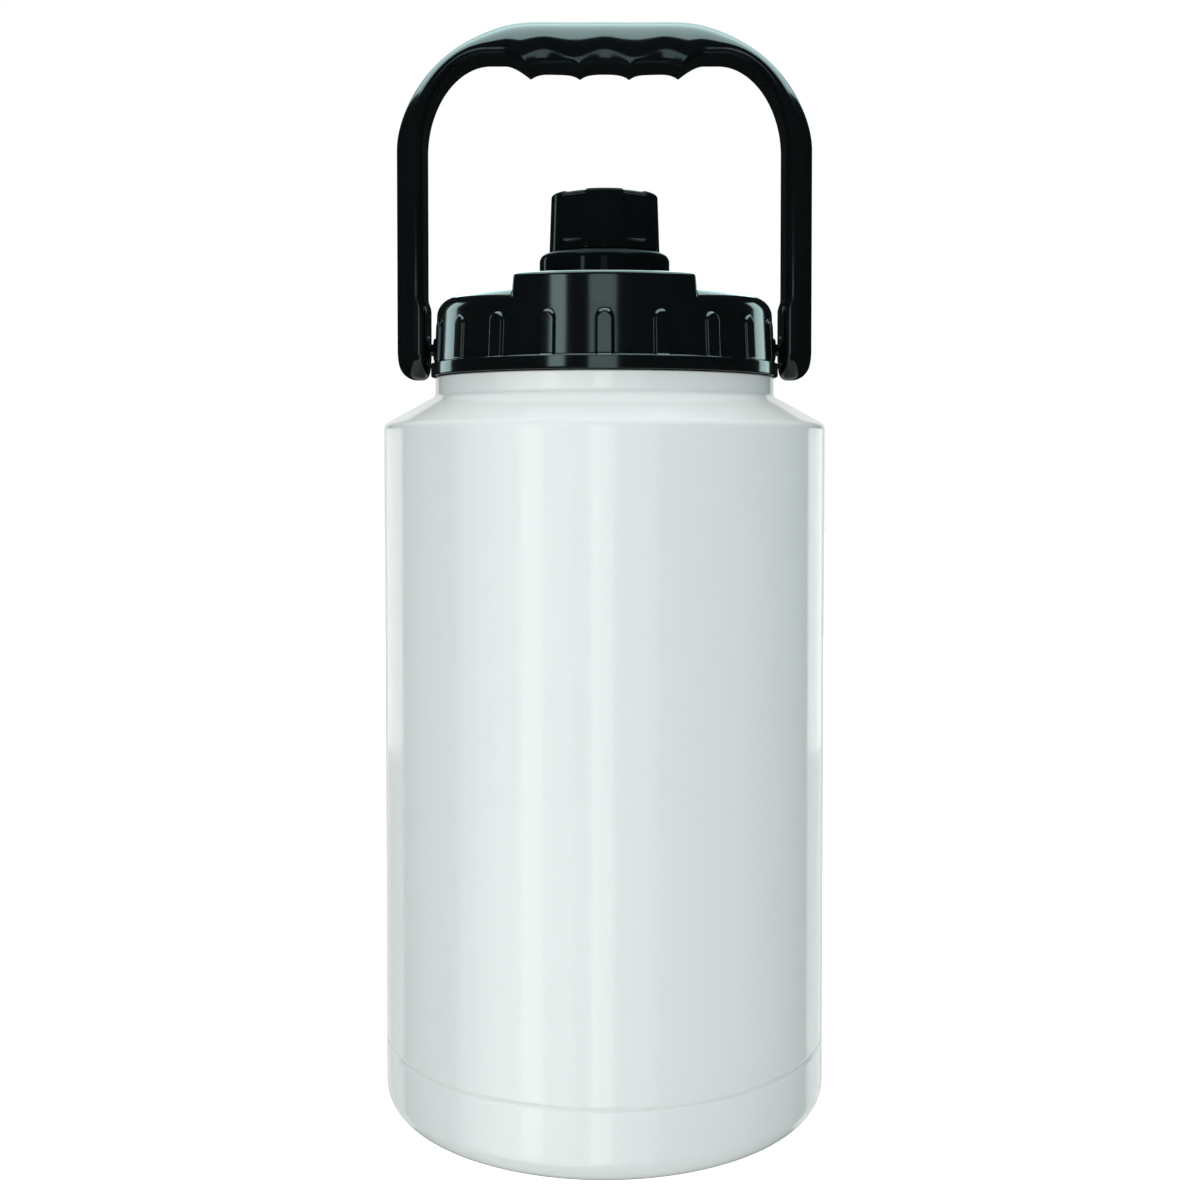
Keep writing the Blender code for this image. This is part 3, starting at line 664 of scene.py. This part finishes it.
def handle_grids():
    """The loft from the left pivot over the grip to the right pivot, and the two half-round leg ends, where
    the section's half is turned about the pivot's axis."""
    point, way = handle_spine()
    outward = reach_outline(outer_level, point, way)
    pad = PAD_PROUD * np.clip((PAD_RAMP_TOP - point[:, 1]) / (PAD_RAMP_TOP - PAD_TOP), 0, 1)
    inward = reach_outline(inner_level, point, -way) + pad
    half = half_section(outward, inward, point[:, 0])
    section = np.concatenate([half, half[:, -2:0:-1] * (1, -1)], axis=1)
    spot = point[:, None] + way[:, None] * section[..., :1]
    right = np.stack([spot[..., 0], section[..., 1], spot[..., 1]], axis=-1)
    loft = np.concatenate([right * (-1, 1, 1), right[-2::-1]])
    turn = np.linspace(0, math.pi, LEG_END_STEPS)[:, None]
    end = half[0]
    across = np.broadcast_to(SPINE_X + end[:, 0], (LEG_END_STEPS, len(end)))
    leg_end = np.stack([across, end[:, 1] * np.cos(turn), PIVOT_HEIGHT - end[:, 1] * np.sin(turn)], axis=-1)
    return loft, [leg_end, leg_end * (-1, 1, 1)]


handle_plastic = finished_material("handle_plastic", BLACK_LOW, BLACK_HIGH, smooth=0.10, rough=0.14,
                                   wave=0.0012, patch=0.03, relief=0.000002)
loft, leg_ends = handle_grids()
handle = add_surface("carry_handle", handle_plastic, [loft], leg_ends)
# The other pieces don't mirror the handle, whose brightly lit legs would make streaks in the paint.
handle.visible_glossy = False
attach(handle, "handle")
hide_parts("handle")


# Each leg has a round boss inside it at the pivot, and a stud on the boss that snaps into the lid's socket.
# Both are moulded with the handle. They are turned about the pivot's axis.
PIVOT_BOSS_RADIUS = 0.0049
PIVOT_BOSS_FACE = 0.0606
PIVOT_BOSS_EDGE = 0.0006
STUD_RADIUS = 0.0021
STUD_END = 0.0585
STUD_EDGE = 0.0003


def stud_profile():
    """From the stud's tip, along its side, out over the boss's face and rounded edge, into the leg."""
    tip = arc((STUD_RADIUS - STUD_EDGE, -STUD_END - STUD_EDGE), STUD_EDGE, 90, 0, 5)
    edge_centre = (PIVOT_BOSS_RADIUS - PIVOT_BOSS_EDGE, -PIVOT_BOSS_FACE - PIVOT_BOSS_EDGE)
    edge = arc(edge_centre, PIVOT_BOSS_EDGE, 90, 0, 6)
    return np.concatenate([
        line((0.0, -STUD_END), tip[0], 4),
        tip[1:],
        line(tip[-1], (STUD_RADIUS, -PIVOT_BOSS_FACE), 6)[1:],
        line((STUD_RADIUS, -PIVOT_BOSS_FACE), edge[0], 5)[1:],
        edge[1:],
        line(edge[-1], (PIVOT_BOSS_RADIUS, -SPINE_X), 6)[1:],
        line((PIVOT_BOSS_RADIUS, -SPINE_X), (0.0, -SPINE_X), 4)[1:],
    ])


for name, side in (("left", -1), ("right", 1)):
    stud = add_surface(f"handle_stud_{name}", handle_plastic, [turned_on_pivot(stud_profile(), -side)])
    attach(stud, "handle")


# The jug stands on a plain white floor, a flat disc a little below its base. The floor glows for the camera
# alone, so that it is as white as the room behind it, and it neither shows in the gloss nor casts a shadow.
FLOOR_RADIUS = 4.0
FLOOR_DROP = 0.0002
FLOOR_COLUMNS = 96
FLOOR_GLOW = 1.0

floor_material, floor_tree, floor_shader = new_material("white_floor")
floor_shader.inputs["Base Color"].default_value = (0.9, 0.9, 0.9, 1.0)
floor_shader.inputs["Roughness"].default_value = 0.9
floor_shader.inputs["Emission Color"].default_value = (1.0, 1.0, 1.0, 1.0)
floor_path = floor_tree.nodes.new("ShaderNodeLightPath")
floor_glow = floor_tree.nodes.new("ShaderNodeMath")
floor_glow.operation = "MULTIPLY"
floor_glow.inputs[1].default_value = FLOOR_GLOW
floor_tree.links.new(floor_path.outputs["Is Camera Ray"], floor_glow.inputs[0])
floor_tree.links.new(floor_glow.outputs[0], floor_shader.inputs["Emission Strength"])
floor_profile = np.array([(0.0, -FLOOR_DROP), (FLOOR_RADIUS, -FLOOR_DROP)])
floor = add_surface("floor", floor_material, [turned(floor_profile, FLOOR_COLUMNS)])
floor.visible_glossy = False
floor.visible_shadow = False


# Soft lamps shape the pale paint. Strips and overhead panels are what the gloss mirrors, and each of them
# shows in one kind of surface only, as in a retouched studio picture.
STRIP_DISTANCE = 0.63
TOP_PANEL_HEIGHT = 1.10
LAMP_DISTANCE = 1.4
LAMP_HEIGHT = 0.2
LAMP_AIM = (0.0, 0.0, 0.15)
LAMP_SIZE = (0.5, 1.0)
TOP_LAMP_PLACE = (0.0, -0.1, 1.5)
TOP_LAMP_SIZE = (1.2, 1.2)
TOP_LAMP_POWER = 14.6
WHITE_LIGHT = (1.0, 1.0, 1.0)
COOL_LIGHT = (0.72, 1.0, 1.0)


def add_panel(name, place, aim, size, power, pieces=None, colour=WHITE_LIGHT):
    """A soft light: a flat panel at a place, turned to face its aim, its height kept upright. With pieces, it
    shows only in their reflections. Without, it lights the matt part of every surface."""
    data = bpy.data.lights.new(name, "AREA")
    data.shape = "RECTANGLE"
    data.size, data.size_y = size
    data.energy = power
    data.color = colour
    panel = bpy.data.objects.new(name, data)
    panel.location = place
    panel.rotation_euler = (Vector(place) - Vector(aim)).to_track_quat("Z", "Y").to_euler()
    panel.visible_camera = False
    panel.visible_glossy = pieces is not None
    panel.visible_diffuse = pieces is None
    if pieces:
        panel.light_linking.receiver_collection = pieces
    bpy.context.scene.collection.objects.link(panel)


def light_group(name, members):
    """A collection that names the pieces in which a panel shows."""
    group = bpy.data.collections.new(name)
    for member in members:
        group.objects.link(member)
    return group


def round_place(angle, distance, height):
    """A place round the jug: the angle is from -Y, in degrees, positive towards +X."""
    turn = math.radians(angle)
    return (distance * math.sin(turn), -distance * math.cos(turn), height)


on_body = light_group("body_light", [vessel])
on_lid = light_group("lid_light", [lid])
on_spout = light_group("spout_light", [collar, cap])
on_handle = light_group("handle_light", [handle])
colours = {on_body: WHITE_LIGHT, on_lid: COOL_LIGHT, on_spout: COOL_LIGHT, on_handle: COOL_LIGHT}

for name, angle, low, high, width, power, pieces in (
        ("body_left_strip", -34.4, -0.25, 0.32, 0.120, 0.31, on_body),
        ("body_front_strip", -1.0, -0.30, 0.32, 0.120, 0.39, on_body),
        ("body_glow_narrow", -34.0, -0.50, 0.60, 0.45, 0.90, on_body),
        ("body_glow_middle", -33.0, -0.50, 0.60, 0.75, 1.7, on_body),
        ("body_glow_wide", -25.0, -0.50, 0.60, 1.05, 3.2, on_body),
        ("body_glow_widest", -25.0, -0.50, 0.60, 1.50, 4.2, on_body),
        ("body_left_rim", -134.0, 0.01, 0.245, 0.30, 0.30, on_body),
        ("body_right_rim", 135.0, 0.01, 0.245, 0.28, 0.34, on_body),
        ("body_left_low_rim", -134.0, -0.45, 0.01, 0.30, 0.30, on_body),
        ("body_right_low_rim", 135.0, -0.45, 0.01, 0.28, 0.43, on_body),
        ("body_back", 180.0, -0.45, 0.48, 0.80, 1.87, on_body),
        ("lid_left_strip", -29.2, 0.262, 0.420, 0.110, 0.20, on_lid),
        ("lid_front_strip", -1.0, 0.00, 0.400, 0.190, 0.46, on_lid),
        ("lid_back_left_strip", -122.8, 0.25, 0.55, 0.18, 0.52, on_lid),
        ("lid_back_right_strip", 124.5, 0.25, 0.55, 0.17, 0.50, on_lid),
        ("spout_front_strip", -1.0, 0.00, 0.40, 0.120, 0.025, on_spout),
        ("spout_left_strip", -38.0, 0.10, 0.40, 0.060, 0.060, on_spout),
        ("spout_back_left_strip", -130.0, 0.20, 0.50, 0.060, 0.05, on_spout),
        ("spout_back_right_strip", 140.0, 0.20, 0.31, 0.080, 0.05, on_spout),
        ("handle_front_strip", -1.0, 0.00, 0.36, 0.190, 0.32, on_handle)):
    middle = (low + high) / 2
    place = round_place(angle, STRIP_DISTANCE, middle)
    add_panel(name, place, (0.0, 0.0, middle), (width, high - low), power, pieces, colours[pieces])

for name, width, front, back, power, pieces in (
        ("lid_top_panel", 1.3, -0.6, 3.0, 75.0, on_lid),
        ("spout_top_panel", 1.3, -0.6, 3.0, 10.0, on_spout),
        ("handle_near_panel", 2.2, -0.6, 0.5, 42.5, on_handle),
        ("handle_middle_panel", 2.2, 0.5, 0.9, 7.5, on_handle),
        ("handle_far_panel", 2.2, 0.9, 3.0, 19.0, on_handle)):
    middle = (front + back) / 2
    place = (0.0, middle, TOP_PANEL_HEIGHT)
    add_panel(name, place, (0.0, middle, 0.0), (width, back - front), power, pieces, colours[pieces])

for name, angle, power in (
        ("lamp_left", -60.0, 1.1),
        ("lamp_key", -30.0, 2.25),
        ("lamp_front", -5.0, 3.1),
        ("lamp_fill", 25.0, 1.2),
        ("lamp_back", 180.0, 3.0)):
    add_panel(name, round_place(angle, LAMP_DISTANCE, LAMP_HEIGHT), LAMP_AIM, LAMP_SIZE, power)
add_panel("lamp_top", TOP_LAMP_PLACE, LAMP_AIM, TOP_LAMP_SIZE, TOP_LAMP_POWER)


# The room is white to the camera. To the matt surfaces it is a dim, slightly cool glow all round, and to the
# gloss it is almost black, so that only the strips and panels show there.
ROOM_LIGHT = 0.34
ROOM_TINT = (0.76, 1.0, 1.0, 1.0)
ROOM_REFLECTION = 0.012

world = bpy.data.worlds.new("white_room")
world.use_nodes = True
bpy.context.scene.world = world
world_nodes, world_links = world.node_tree.nodes, world.node_tree.links
background = world_nodes["Background"]
path = world_nodes.new("ShaderNodeLightPath")
dim = world_nodes.new("ShaderNodeMix")
dim.inputs["A"].default_value = ROOM_LIGHT
dim.inputs["B"].default_value = ROOM_REFLECTION
world_links.new(path.outputs["Is Glossy Ray"], dim.inputs["Factor"])
shown = world_nodes.new("ShaderNodeMix")
shown.inputs["B"].default_value = 1.0
world_links.new(path.outputs["Is Camera Ray"], shown.inputs["Factor"])
world_links.new(dim.outputs["Result"], shown.inputs["A"])
world_links.new(shown.outputs["Result"], background.inputs["Strength"])
tint = world_nodes.new("ShaderNodeMix")
tint.data_type = "RGBA"
tint.inputs["A"].default_value = ROOM_TINT
tint.inputs["B"].default_value = (1.0, 1.0, 1.0, 1.0)
world_links.new(path.outputs["Is Camera Ray"], tint.inputs["Factor"])
world_links.new(tint.outputs["Result"], background.inputs["Color"])
bpy.context.scene.view_settings.view_transform = "Standard"
